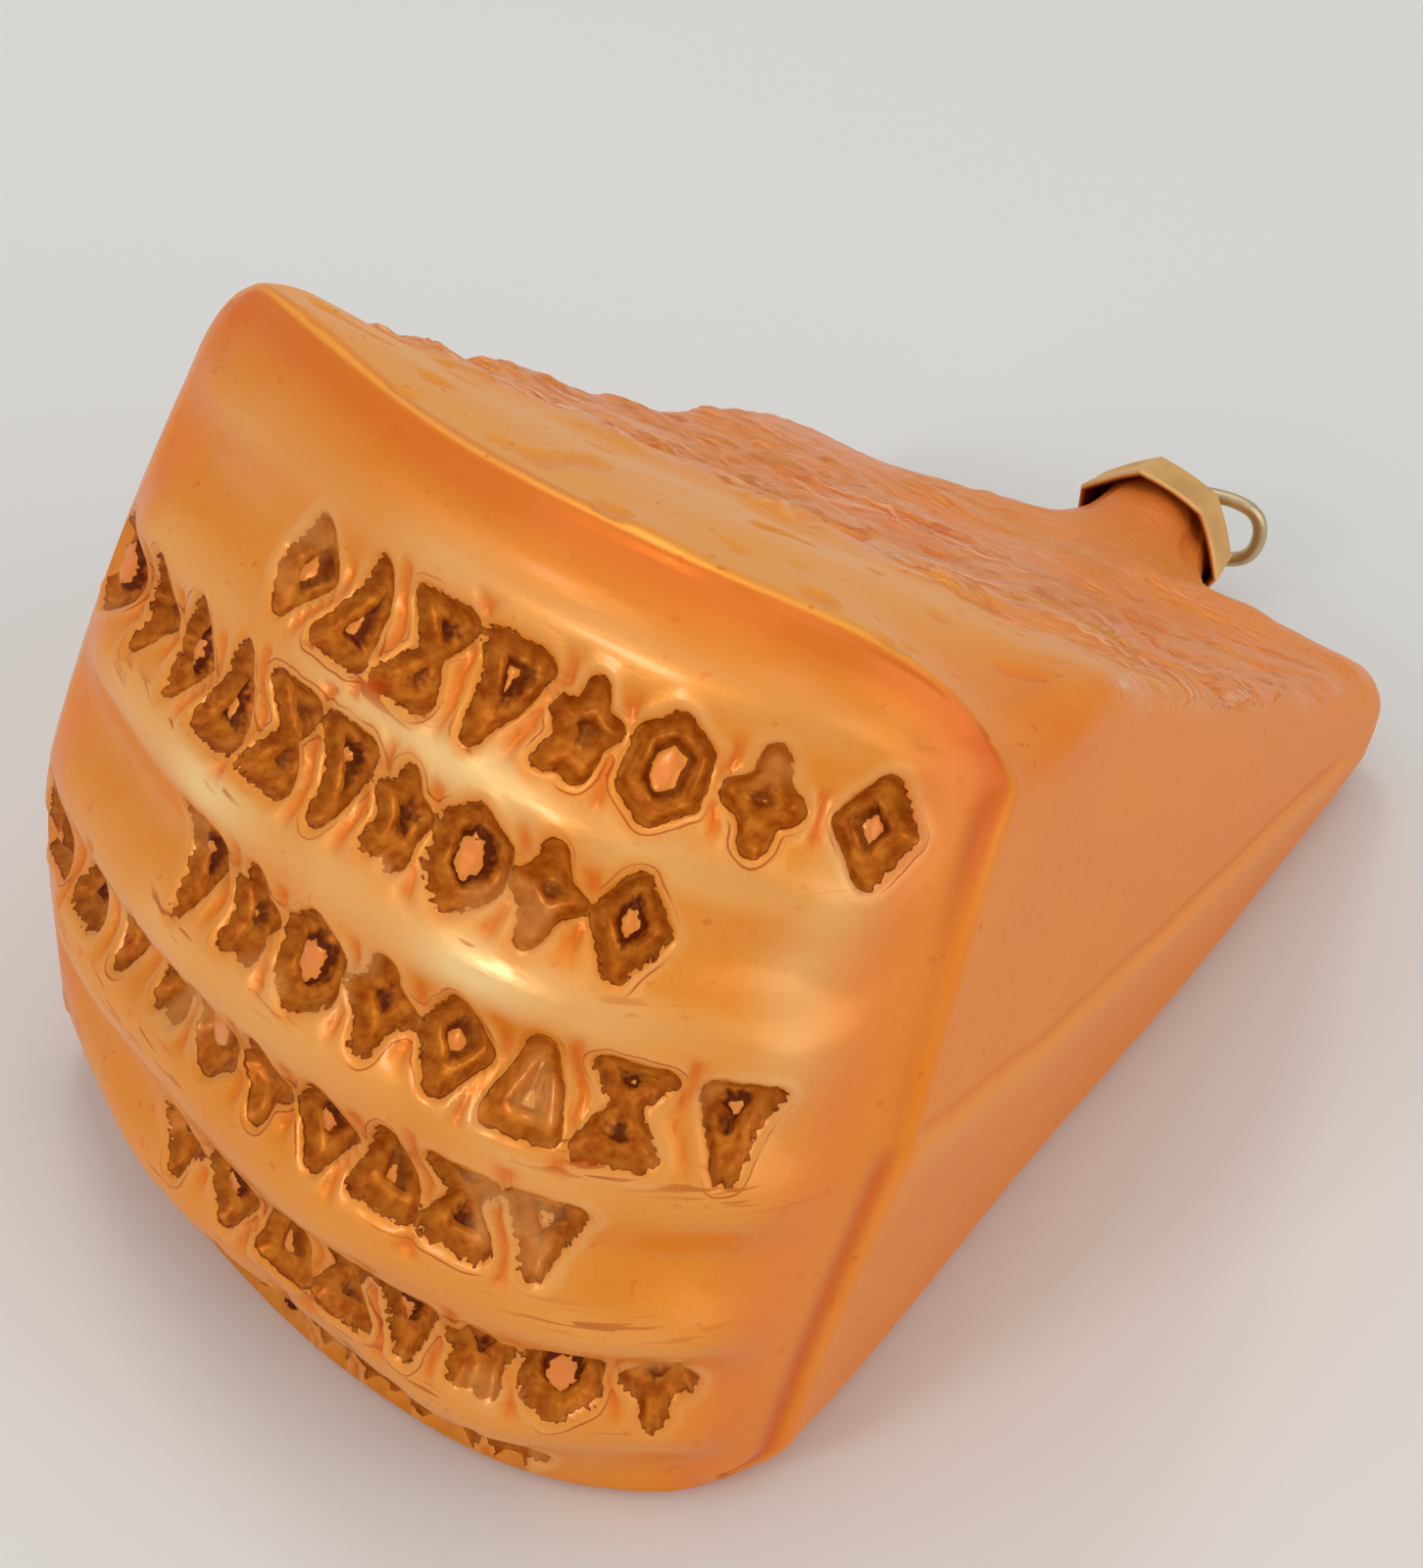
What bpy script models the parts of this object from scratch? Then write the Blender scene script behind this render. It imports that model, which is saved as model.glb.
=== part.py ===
# Blown-glass hanging ornament in the shape of a wedge of hard cheese, lying on its lower cut face.
# Three pieces: the glass wedge with its neck, the metal crown cap on the neck, and the wire hanger.
# +X runs along the rows of marks on the rind, +Y from the rind to the tip, +Z up.

import bmesh
import bpy
import math
from mathutils import Matrix, Vector, noise

MM = 0.001

# The wedge, measured about its middle plane, which is also the parting line of its mould.
RIND_WIDTH = 52.2 * MM       # along the rows of marks
RIND_HEIGHT = 51.2 * MM     # across both cut faces, at the rind's corners
TIP_WIDTH = 47.6 * MM
TIP_OFFSET = 0.9 * MM       # to the right of the rind's middle
TIP_THICKNESS = 7.8 * MM
WEDGE_LENGTH = 75.5 * MM    # from the rind's corners to the tip
EDGE_RADIUS = 2.0 * MM      # rounding round the rind
TIP_RADIUS = 3.6 * MM       # rounding round the tip
SEAM_RIDGE = 1.9 * MM       # how far each flat side stands out along the parting line
TIP_CROWDING = 0.45         # draws the mesh's columns together towards the neck

# The rind's pillow shape: highest right of the middle, falling away faster on the right.
PILLOW_DEPTH = 13.6 * MM
PILLOW_PEAK = 0.12          # as a share of half the width
PILLOW_LEFT_POWER = 1.75
PILLOW_RIGHT_POWER = 2.9
PILLOW_EDGE_SHARE = 0.36    # how much of the pillow is lost at the upper and lower edges
BARREL_DEPTH = 3.7 * MM     # extra bulge half-way up
RIND_SKEW = 1.8 * MM        # how much further forward its right edge stands

# The broken upper face: a smooth strip behind the rind, then lumps and hollows.
UPPER_SAG = 2.2 * MM
LIP_RISE = 0.5 * MM         # how far the pillow's upper lip stands above the rind's corners
SMOOTH_STRIP = 0.12         # as a share of the length
LUMP_HEIGHT = 1.1 * MM
LUMP_SIZE = 9 * MM
WORN_CORNER_DROP = 4.2 * MM
WORN_CORNER_SIZE = 7.5 * MM

# The neck grows out of the tip, level with the surface below.
NECK_RADIUS = 4.3 * MM
NECK_HEIGHT = 5.9 * MM      # of its axis
NECK_OFFSET = 1.7 * MM      # of its axis to the right of the middle
NECK_REACH = 8.7 * MM       # beyond the tip
NECK_SPREAD = 14 * MM       # how far round it the flare reaches
NECK_END_SHARE = 0.32       # of that reach, taken by the neck's flat end
NECK_FLARE = 1.1
MOUTH_RADIUS = 3.5 * MM
MOUTH_DEPTH = 5.5 * MM

# The crown cap: a faceted skirt round the neck's end, closed by a slightly domed top.
CAP_FACETS = 7
CAP_RIM_RADIUS = 5.55 * MM  # to the corners of its skirt
CAP_TOP_RADIUS = 5.15 * MM
CAP_WALL = 0.25 * MM
CAP_HEIGHT = 3.4 * MM
CAP_GAP = 0.3 * MM          # between the neck's end and the cap
CAP_DOME = 0.5 * MM
CAP_STEPS = 4               # points along each facet

# The wire hanger: two legs through the cap's top, joined by an eye that leans to the right.
WIRE_RADIUS = 0.5 * MM
LEG_SPACING = 4.9 * MM
LEG_LENGTH = 3.4 * MM       # below the cap's top
EYE_LENGTH = 6.6 * MM
EYE_LEAN = math.radians(70)
HOLE_RADIUS = 0.8 * MM

# The moulded marks: six rows of plain figures, sunk into the rind.
MARK_ROWS = 6
FIRST_ROW = 0.70            # how high up the rind, from -1 to 1
ROW_STEP = 0.32
MARK_STEP = 0.165           # from one mark to the next, with the rind's width from -1 to 1
LONG_ROW = (-0.90, 10)      # where its first mark stands, and how many it has
SHORT_ROW = (-0.40, 8)
MARK_HEIGHT = 4.7 * MM
MARK_WIDTH = 3.4 * MM
MARK_DEPTH = 0.7 * MM
FIGURES = (                 # corners, inner radius as a share of the outer one, turn in degrees
    (4, 0.71, 90),          # diamond
    (5, 0.45, 90),          # five-pointed star
    (3, 0.50, 90),          # triangle
    (6, 0.87, 90),          # hexagon
    (4, 0.40, 90),          # four-pointed star
    (3, 0.50, -90),         # triangle on its point
    (6, 0.60, 90),          # six-pointed star
)

COLUMNS, LAYERS, RINGS = 24, 20, 26   # faces across the width, up the height, along the length

HALF_ANGLE = math.atan((RIND_HEIGHT - TIP_THICKNESS) / 2 / WEDGE_LENGTH)
LIFT = RIND_HEIGHT / 2 * math.cos(HALF_ANGLE)
TIP_Y = WEDGE_LENGTH * math.cos(HALF_ANGLE) - TIP_THICKNESS / 2 * math.sin(HALF_ANGLE)
NECK_END_Y = TIP_Y + NECK_REACH
CAP_TOP_Y = NECK_END_Y + CAP_GAP
CAP_RIM_Y = CAP_TOP_Y - CAP_HEIGHT


def smooth(low, high, value):
    """0 below low, 1 above high, and an even S-curve between."""
    t = min(max((value - low) / (high - low), 0.0), 1.0)
    return t * t * (3 - 2 * t)


def clear_scene():
    for old in list(bpy.data.objects):
        bpy.data.objects.remove(old, do_unlink=True)


def paint(name, colour, roughness, metallic=0.0):
    material = bpy.data.materials.new(name)
    material.use_nodes = True
    shader = material.node_tree.nodes["Principled BSDF"]
    shader.inputs["Base Color"].default_value = (*colour, 1)
    shader.inputs["Roughness"].default_value = roughness
    shader.inputs["Metallic"].default_value = metallic
    return material


def add_object(name, bm, material, sharp_degrees=35):
    bmesh.ops.recalc_face_normals(bm, faces=bm.faces)
    mesh = bpy.data.meshes.new(name)
    bm.to_mesh(mesh)
    bm.free()
    mesh.shade_smooth()
    mesh.set_sharp_from_angle(angle=math.radians(sharp_degrees))
    if material:
        mesh.materials.append(material)
    obj = bpy.data.objects.new(name, mesh)
    bpy.context.collection.objects.link(obj)
    return obj


def cut(target, cutter):
    cutter.hide_render = True
    cutter.display_type = "WIRE"
    modifier = target.modifiers.new(cutter.name, "BOOLEAN")
    modifier.operation = "DIFFERENCE"
    modifier.solver = "EXACT"
    modifier.object = cutter


# ---- The wedge

def pillow(across, up):
    """How far the rind stands forward; across and up run from -1 to 1."""
    if across < PILLOW_PEAK:
        fall = ((PILLOW_PEAK - across) / (1 + PILLOW_PEAK)) ** PILLOW_LEFT_POWER
    else:
        fall = ((across - PILLOW_PEAK) / (1 - PILLOW_PEAK)) ** PILLOW_RIGHT_POWER
    edge = up * up
    skew = RIND_SKEW * (across + 1) / 2
    return skew + BARREL_DEPTH * (1 - edge) + PILLOW_DEPTH * (1 - fall) * (1 - PILLOW_EDGE_SHARE * edge)


def half_thickness(along, up):
    """From the middle plane to a cut face; the lower one stays flat, the upper one sags."""
    plane = RIND_HEIGHT / 2 - along * math.tan(HALF_ANGLE)
    if up < 0:
        return plane
    share = along / WEDGE_LENGTH
    sag = UPPER_SAG * smooth(-0.05, 0.35, share) * (1 - smooth(0.7, 1.0, share))
    return min(plane, RIND_HEIGHT / 2 + LIP_RISE) - sag * up


def half_width(share, up):
    taper = RIND_WIDTH / 2 + (TIP_WIDTH - RIND_WIDTH) / 2 * share
    return taper + SEAM_RIDGE * (1 - abs(up)) * (1 - share)


def lay_down(x, along, above):
    """From the wedge's middle plane to the frame in which the lower cut face is level."""
    y = along * math.cos(HALF_ANGLE) + above * math.sin(HALF_ANGLE)
    z = above * math.cos(HALF_ANGLE) - along * math.sin(HALF_ANGLE) + LIFT
    return Vector((x, y, max(z, 0.0)))


def broken_relief(x, along):
    """Lumps on the upper cut face, drawn out along the rows of marks."""
    share = along / WEDGE_LENGTH
    fade = smooth(SMOOTH_STRIP, SMOOTH_STRIP + 0.12, share) * (1 - smooth(0.72, 0.9, share))
    spot = Vector((x / 1.6, along, 3.0 * MM)) / LUMP_SIZE
    return fade * LUMP_HEIGHT * (noise.noise(spot) + 0.5 * noise.noise(spot * 2.3))


def worn_corner(x, along, above):
    """The rind's upper right corner is worn down."""
    corner = Vector((RIND_WIDTH / 2, 0, RIND_HEIGHT / 2))
    distance = (Vector((x, along, above)) - corner).length
    return WORN_CORNER_DROP * math.exp(-(distance / WORN_CORNER_SIZE) ** 2)


def wedge_point(box):
    """Maps a point on the box from -1 to 1 to (across, along, above) on the rounded wedge."""
    half = Vector((RIND_WIDTH / 2, WEDGE_LENGTH / 2, RIND_HEIGHT / 2))
    place = Vector([b * h for b, h in zip(box, half)])
    core = Vector([max(EDGE_RADIUS - h, min(h - EDGE_RADIUS, p)) for p, h in zip(place, half)])
    outward = (place - core).normalized()
    across, length, up = [c / (h - EDGE_RADIUS) for c, h in zip(core, half)]
    share = (length + 1) / 2
    radius = EDGE_RADIUS + (TIP_RADIUS - EDGE_RADIUS) * share
    tilted_radius = radius / math.cos(HALF_ANGLE)

    along = radius + share * (WEDGE_LENGTH - 2 * radius) - pillow(across, up) * (1 - share) ** 1.3
    crowd = TIP_CROWDING * share
    x = (across * (1 - crowd) + across ** 3 * crowd) * (half_width(share, up) - radius)
    above = up * (half_thickness(along, up) - tilted_radius)
    x += TIP_OFFSET * share + radius * outward.x
    along += radius * outward.y
    above += tilted_radius * outward.z
    if box.z > 0.999:
        above += broken_relief(x, along)
    return x, along, above - worn_corner(x, along, above)


def neck_point(x, along, above):
    """The surface point laid down, and near the tip drawn out into the flared neck."""
    place = lay_down(x, along, above)
    ahead = along - (WEDGE_LENGTH - TIP_RADIUS)
    if ahead > 0:
        arc = TIP_RADIUS * math.atan2(abs(above), ahead)
    else:
        arc = TIP_RADIUS * math.pi / 2 - ahead
    arc = math.copysign(arc, above)
    reach = math.hypot(x - NECK_OFFSET, arc) / NECK_SPREAD
    if reach >= 1:
        return place
    turn = math.atan2(arc, x - NECK_OFFSET)
    fall = max(0.0, (reach - NECK_END_SHARE) / (1 - NECK_END_SHARE))
    radius = NECK_RADIUS * (min(1.0, reach / NECK_END_SHARE) + NECK_FLARE * fall ** 3)
    y = NECK_END_Y - fall * NECK_REACH * (1.1 + 0.9 * abs(math.sin(turn)))
    neck = Vector((NECK_OFFSET + radius * math.cos(turn), y, NECK_HEIGHT + radius * math.sin(turn)))
    point = place.lerp(neck, 1 - smooth(0.5, 1.0, reach))
    point.z = max(point.z, 0.0)
    return point


def make_wedge(material):
    bm = bmesh.new()
    bmesh.ops.create_cube(bm, size=2)
    for axis, faces in ((0, COLUMNS), (1, RINGS), (2, LAYERS)):
        edges = [e for e in bm.edges if abs((e.verts[0].co - e.verts[1].co)[axis]) > 1]
        bmesh.ops.subdivide_edges(bm, edges=edges, cuts=faces - 1, use_grid_fill=True)
    for vert in bm.verts:
        vert.co = neck_point(*wedge_point(vert.co))
    return add_object("glass_wedge", bm, material, 50)


def make_mouth():
    """The neck's open end, which takes the hanger's legs."""
    bm = bmesh.new()
    middle = Vector((NECK_OFFSET, NECK_END_Y, NECK_HEIGHT))
    place = Matrix.Translation(middle) @ Matrix.Rotation(math.radians(90), 4, "X")
    bmesh.ops.create_cone(bm, cap_ends=True, segments=20, radius1=MOUTH_RADIUS, radius2=MOUTH_RADIUS,
                          depth=2 * MOUTH_DEPTH, matrix=place)
    return add_object("mouth_cutter", bm, None)


# ---- The marks

def rind_frame(across, up):
    """A point on the rind, with its axes along the row, up the rind and outward."""
    def point(a, u):
        return lay_down(*wedge_point(Vector((a, -1, u))))
    step = 0.01
    middle = point(across, up)
    row = (point(across + step, up) - middle).normalized()
    outward = row.cross(point(across, up + step) - middle).normalized()
    rise = outward.cross(row)
    return Matrix((row, rise, outward)).transposed().to_4x4(), middle


def make_marks():
    """One cutter with a sunk figure at every place in the six rows."""
    bm = bmesh.new()
    for row in range(MARK_ROWS):
        first, count = LONG_ROW if row % 2 else SHORT_ROW
        for column in range(count):
            corners, inner, turn = FIGURES[(row * 3 + column * 2) % len(FIGURES)]
            axes, middle = rind_frame(first + MARK_STEP * column, FIRST_ROW - ROW_STEP * row)
            ring = []
            for corner in range(2 * corners):
                angle = math.radians(turn) + math.pi * corner / corners
                radius = 0.5 if corner % 2 == 0 else 0.5 * inner
                flat = Vector((MARK_WIDTH * math.cos(angle), MARK_HEIGHT * math.sin(angle), 0)) * radius
                ring.append(bm.verts.new(middle + axes @ (flat - Vector((0, 0, MARK_DEPTH)))))
            floor = bm.faces.new(ring)
            walls = bmesh.ops.extrude_face_region(bm, geom=[floor])["geom"]
            raised = [g for g in walls if isinstance(g, bmesh.types.BMVert)]
            bmesh.ops.translate(bm, verts=raised, vec=axes @ Vector((0, 0, 4 * MARK_DEPTH)))
    return add_object("mark_cutter", bm, None)


# ---- The cap and the hanger

def make_cap(material):
    """Rings from the skirt's inner rim over the top and back down its outside."""
    wall, top = CAP_WALL, CAP_TOP_Y
    flat = math.cos(math.pi / CAP_FACETS)
    profile = (                              # radius, y, and how far the ring is faceted
        (0, top, 0),
        (CAP_TOP_RADIUS * 0.8 - wall, top, 0),
        (CAP_TOP_RADIUS - wall, top - CAP_DOME, 0.6),
        (CAP_RIM_RADIUS - wall, CAP_RIM_Y, 1),
        (CAP_RIM_RADIUS, CAP_RIM_Y, 1),
        (CAP_TOP_RADIUS, top - CAP_DOME + wall, 0.6),
        (CAP_TOP_RADIUS * 0.8, top + wall, 0),
        (0, top + wall, 0),
    )
    count = CAP_FACETS * CAP_STEPS
    bm = bmesh.new()
    rings = []
    for radius, y, faceted in profile:
        if radius == 0:
            rings.append([bm.verts.new((NECK_OFFSET, y, NECK_HEIGHT))])
            continue
        ring = []
        for index in range(count):
            angle = 2 * math.pi * index / count
            off_corner = (angle % (2 * math.pi / CAP_FACETS)) - math.pi / CAP_FACETS
            reach = radius * (1 - faceted + faceted * flat / math.cos(off_corner))
            x = NECK_OFFSET + reach * math.cos(angle)
            ring.append(bm.verts.new((x, y, NECK_HEIGHT + reach * math.sin(angle))))
        rings.append(ring)
    for low, high in zip(rings, rings[1:]):
        for index in range(count):
            following = (index + 1) % count
            corners = [low[index % len(low)], low[following % len(low)],
                       high[following % len(high)], high[index % len(high)]]
            bm.faces.new(list(dict.fromkeys(corners)))
    return add_object("cap", bm, material, 30)


def make_leg_holes():
    bm = bmesh.new()
    for side in (-1, 1):
        middle = Vector((NECK_OFFSET, CAP_TOP_Y, NECK_HEIGHT + side * LEG_SPACING / 2))
        place = Matrix.Translation(middle) @ Matrix.Rotation(math.radians(90), 4, "X")
        bmesh.ops.create_cone(bm, cap_ends=True, segments=12, radius1=HOLE_RADIUS, radius2=HOLE_RADIUS,
                              depth=2 * MM, matrix=place)
    return add_object("leg_hole_cutter", bm, None)


def make_hanger(material):
    """One wire: up a leg, round the leaning eye, and down the other leg."""
    top = Vector((NECK_OFFSET, CAP_TOP_Y, NECK_HEIGHT))
    lean = Vector((math.sin(EYE_LEAN), math.cos(EYE_LEAN), 0))
    back = Vector((0, 1, 0))
    half = [                                 # down the middle of the eye, and how far to its side
        (top - back * LEG_LENGTH, 1),
        (top - back * LEG_LENGTH / 2, 1),
        (top + back * 0.6 * MM, 1),
        (top + back * 1.3 * MM + lean * 0.12 * EYE_LENGTH, 1.02),
        (top + back * 1.3 * MM + lean * 0.60 * EYE_LENGTH, 1.12),
        (top + back * 1.1 * MM + lean * EYE_LENGTH, 0.78),
    ]
    side = Vector((0, 0, LEG_SPACING / 2))
    path = [middle + side * share for middle, share in half]
    path += [middle - side * share for middle, share in reversed(half)]
    curve = bpy.data.curves.new("hanger_loop", "CURVE")
    curve.dimensions = "3D"
    spline = curve.splines.new("NURBS")
    spline.points.add(len(path) - 1)
    for point, place in zip(spline.points, path):
        point.co = (*place, 1)
    spline.order_u = 4
    spline.use_endpoint_u = True
    spline.resolution_u = 4
    curve.bevel_depth = WIRE_RADIUS
    curve.bevel_resolution = 2
    curve.use_fill_caps = True
    curve.materials.append(material)
    hanger = bpy.data.objects.new("hanger_loop", curve)
    bpy.context.collection.objects.link(hanger)
    return hanger


def stand_on_origin(pieces):
    """Hangs all on an empty placed so that the origin is under the middle of the bounding box."""
    bpy.context.view_layer.update()
    shown = [p for p in pieces if not p.hide_render]
    corners = [p.matrix_world @ Vector(corner) for p in shown for corner in p.bound_box]
    middle = [(min(c[i] for c in corners) + max(c[i] for c in corners)) / 2 for i in (0, 1)]
    ornament = bpy.data.objects.new("ornament", None)
    bpy.context.collection.objects.link(ornament)
    ornament.location = (-middle[0], -middle[1], 0)
    for piece in pieces:
        piece.parent = ornament


clear_scene()
glass = paint("glass_orange", (0.74, 0.27, 0.06), 0.2)
gold = paint("cap_gold", (0.55, 0.30, 0.09), 0.35, 1.0)
wire = paint("wire_brass", (0.50, 0.38, 0.20), 0.35, 1.0)

wedge = make_wedge(glass)
mouth = make_mouth()
marks = make_marks()
cut(wedge, mouth)
cut(wedge, marks)
cap = make_cap(gold)
leg_holes = make_leg_holes()
cut(cap, leg_holes)
hanger = make_hanger(wire)
stand_on_origin([wedge, mouth, marks, cap, leg_holes, hanger])
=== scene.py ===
import math

import bmesh
import bpy
from mathutils import Matrix, Vector, noise


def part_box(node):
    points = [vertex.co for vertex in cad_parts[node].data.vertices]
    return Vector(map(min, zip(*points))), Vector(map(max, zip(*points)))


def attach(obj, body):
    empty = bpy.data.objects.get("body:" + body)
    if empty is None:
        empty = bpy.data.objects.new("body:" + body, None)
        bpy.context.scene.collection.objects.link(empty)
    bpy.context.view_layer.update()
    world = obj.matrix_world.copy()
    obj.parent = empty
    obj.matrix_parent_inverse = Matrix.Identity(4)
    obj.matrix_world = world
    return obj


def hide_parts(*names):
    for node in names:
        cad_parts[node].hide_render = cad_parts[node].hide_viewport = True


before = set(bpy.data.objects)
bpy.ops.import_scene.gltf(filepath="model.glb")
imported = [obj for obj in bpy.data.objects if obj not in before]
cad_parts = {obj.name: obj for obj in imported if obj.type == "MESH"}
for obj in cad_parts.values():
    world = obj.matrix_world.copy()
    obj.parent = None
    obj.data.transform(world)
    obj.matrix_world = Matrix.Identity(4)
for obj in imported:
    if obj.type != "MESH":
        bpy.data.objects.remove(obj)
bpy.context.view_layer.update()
mm = 0.001
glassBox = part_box("glass_wedge")

# The wedge is worked out about its middle plane, with the rind at the front, then laid on its lower cut face.
wedge = {
    "rindWidth": 52.2 * mm, "rindHeight": 51.2 * mm, "length": 75.5 * mm,
    "tipWidth": 47.2 * mm, "tipThickness": 7.8 * mm, "tipOffset": 0.9 * mm,
    "edgeRadius": 0.55 * mm, "leftEdgeRadius": 2.0 * mm, "lowEdgeRadius": 2.2 * mm, "tipRadius": 3.6 * mm,
    "cornerRadius": 4.6 * mm, "lowCornerRadius": 5.0 * mm, "sideRadius": 1.9 * mm, "lowSideRadius": 3.2 * mm,
    "cornerReach": 6 * mm,
    "seamRidge": 1.9 * mm, "leftSeamRidge": 2.3 * mm, "leftSeamDrop": 0.15, "tipCrowding": 0.45,
    "pillowDepth": 13.6 * mm, "pillowPeak": 0.12, "leftPower": 1.75, "rightPower": 2.9,
    "pillowEdgeShare": 0.36, "barrelDepth": 3.7 * mm, "rindSkew": 1.8 * mm,
    "lowPull": 0.8 * mm, "lowLeftPull": 1.3 * mm, "lowTuck": 0.9 * mm,
    "upperSag": 2.2 * mm, "lipRise": 2.0 * mm, "lipRound": 3.0 * mm, "smoothStrip": 0.10,
    "lumpHeight": 1.2 * mm, "lumpSize": 9 * mm, "wornDrop": 3.6 * mm, "wornSize": 7.5 * mm,
    "leftRise": 1.5 * mm, "leftDip": 0.7 * mm, "leftCrest": 1.4 * mm, "leftDrop": 2.0 * mm,
    "stripSwell": 0.22 * mm, "dimple": 0.30 * mm,
    "seamBow": 0.055,                               # how far the parting line dips, as a share of half the height
    "columns": 50, "rings": 44, "layers": 48,       # faces across, along and up before the fine parts are split
    "fineCuts": 3, "spreading": 0.25, "frontCrowding": 0.15,
}
neck = {
    "radius": 4.5 * mm, "height": 6.0 * mm, "offset": 3.0 * mm, "reach": 7.8 * mm,
    "spread": 14 * mm, "endShare": 0.32, "flare": 1.3,
}
halfAngle = math.atan((wedge["rindHeight"] - wedge["tipThickness"]) / 2 / wedge["length"])
lift = wedge["rindHeight"] / 2 * math.cos(halfAngle)
tipY = wedge["length"] * math.cos(halfAngle) - wedge["tipThickness"] / 2 * math.sin(halfAngle)
neckEndY = tipY + neck["reach"]
placed = Vector(((glassBox[0].x + glassBox[1].x) / 2, glassBox[1].y - tipY - 8.7 * mm, 0))


def smooth(low, high, value):
    t = min(max((value - low) / (high - low), 0.0), 1.0)
    return t * t * (3 - 2 * t)


def bell(value, middle, width):
    return math.exp(-((value - middle) / width) ** 2)


def softMin(first, second, rounding):
    low, gap = min(first, second), abs(first - second)
    return low - rounding * math.log(1 + math.exp(-gap / rounding))


def addObject(name, bm, material, sharpDegrees=None):
    bmesh.ops.recalc_face_normals(bm, faces=bm.faces)
    mesh = bpy.data.meshes.new(name)
    bm.to_mesh(mesh)
    bm.free()
    return placeMesh(name, mesh, material, sharpDegrees)


def placeMesh(name, mesh, material, sharpDegrees=None):
    mesh.shade_smooth()
    if sharpDegrees:
        mesh.set_sharp_from_angle(angle=math.radians(sharpDegrees))
    mesh.materials.clear()
    mesh.materials.append(material)
    obj = bpy.data.objects.new(name, mesh)
    bpy.context.scene.collection.objects.link(obj)
    return obj


def dress(obj, slot, *nodes):
    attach(obj, "root")
    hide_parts(*nodes)


# ---- Shapes of the glass

def pillow(across, up):
    peak = wedge["pillowPeak"]
    if across < peak:
        fall = ((peak - across) / (1 + peak)) ** wedge["leftPower"]
    else:
        fall = ((across - peak) / (1 - peak)) ** wedge["rightPower"]
    edge = up * up
    skew = wedge["rindSkew"] * (across + 1) / 2
    bulge = wedge["pillowDepth"] * (1 - fall) * (1 - wedge["pillowEdgeShare"] * edge)
    pull = (wedge["lowPull"] + wedge["lowLeftPull"] * smooth(0.7, -0.7, across)) * smooth(0.1, 1.0, -up)
    return skew + wedge["barrelDepth"] * (1 - edge) + bulge - pull


def halfThickness(along, up):
    plane = wedge["rindHeight"] / 2 - along * math.tan(halfAngle)
    if up < 0:
        return plane
    share = along / wedge["length"]
    sag = wedge["upperSag"] * smooth(-0.05, 0.35, share) * (1 - smooth(0.7, 1.0, share))
    lip = wedge["rindHeight"] / 2 + wedge["lipRise"]
    return softMin(plane, lip, wedge["lipRound"]) - sag * up


def seamUp(share, onRight):
    left = wedge["leftSeamDrop"] * (1 - onRight) * (1 - share)
    return -wedge["seamBow"] * math.sin(math.pi * min(share * 1.3, 1.0)) - left


def halfWidth(share, up, onRight):
    taper = wedge["rindWidth"] / 2 + (wedge["tipWidth"] - wedge["rindWidth"]) / 2 * share
    ridge = wedge["leftSeamRidge"] + (wedge["seamRidge"] - wedge["leftSeamRidge"]) * onRight
    tuck = wedge["lowTuck"] * onRight * (1 - smooth(0.3, 0.7, share)) * smooth(0.0, -1.0, up)
    return taper + ridge * (1 - abs(up - seamUp(share, onRight))) * (1 - share) - tuck


def layDown(x, along, above):
    y = along * math.cos(halfAngle) + above * math.sin(halfAngle)
    z = above * math.cos(halfAngle) - along * math.sin(halfAngle) + lift
    return Vector((x, y, max(z, 0.0)))


def brokenShare(x, along):
    share = (along + 3.5 * mm * noise.noise(Vector((x, along, 2 * mm)) / (5 * mm))) / wedge["length"]
    strip = wedge["smoothStrip"]
    return smooth(strip, strip + 0.10, share) * (1 - smooth(0.84, 1.0, share))


def upperOutline(x, along, across, share):
    # lumps of the broken face, and the way its left side runs
    spot = Vector((x / 1.6, along, 3 * mm)) / wedge["lumpSize"]
    lumps = brokenShare(x, along) * wedge["lumpHeight"] * (noise.noise(spot) + 0.5 * noise.noise(spot * 2.3))
    left = smooth(-0.1, -1.0, across)
    rise = wedge["leftRise"] * (1 - smooth(0.0, 0.2, share)) - wedge["leftDip"] * bell(share, 0.60, 0.12)
    rise += wedge["leftCrest"] * bell(share, 0.85, 0.09)
    drop = wedge["leftDrop"] * bell(share, 1.0, 0.18) * (0.17 + 0.83 * smooth(-0.2, -0.8, across))
    return lumps * (1 - 0.5 * left) + left * rise - drop


def wornCorner(x, along, above):
    corner = Vector((wedge["rindWidth"] / 2, 0, wedge["rindHeight"] / 2))
    distance = (Vector((x, along, above)) - corner).length
    return wedge["wornDrop"] * math.exp(-(distance / wedge["wornSize"]) ** 2)


def cornerRadius(share, up):
    # of the cross-section: wide where the rind's corners are worn, and wide again at the tip
    front = math.exp(-(share * wedge["length"] / wedge["cornerReach"]) ** 2)
    side = wedge["sideRadius"] if up > 0 else wedge["lowSideRadius"]
    corner = wedge["cornerRadius"] if up > 0 else wedge["lowCornerRadius"]
    return side + (corner - side) * front + (wedge["tipRadius"] - side) * smooth(0.5, 1.0, share)


def turnEdge(inset, depth, radius):
    # carries a point of a square edge on to a round one: how far in and how far back it then lies
    if inset >= radius or depth >= radius:
        return inset, depth
    angle = (depth - inset + radius) / (2 * radius) * math.pi / 2
    return radius * (1 - math.sin(angle)), radius * (1 - math.cos(angle))


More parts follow.
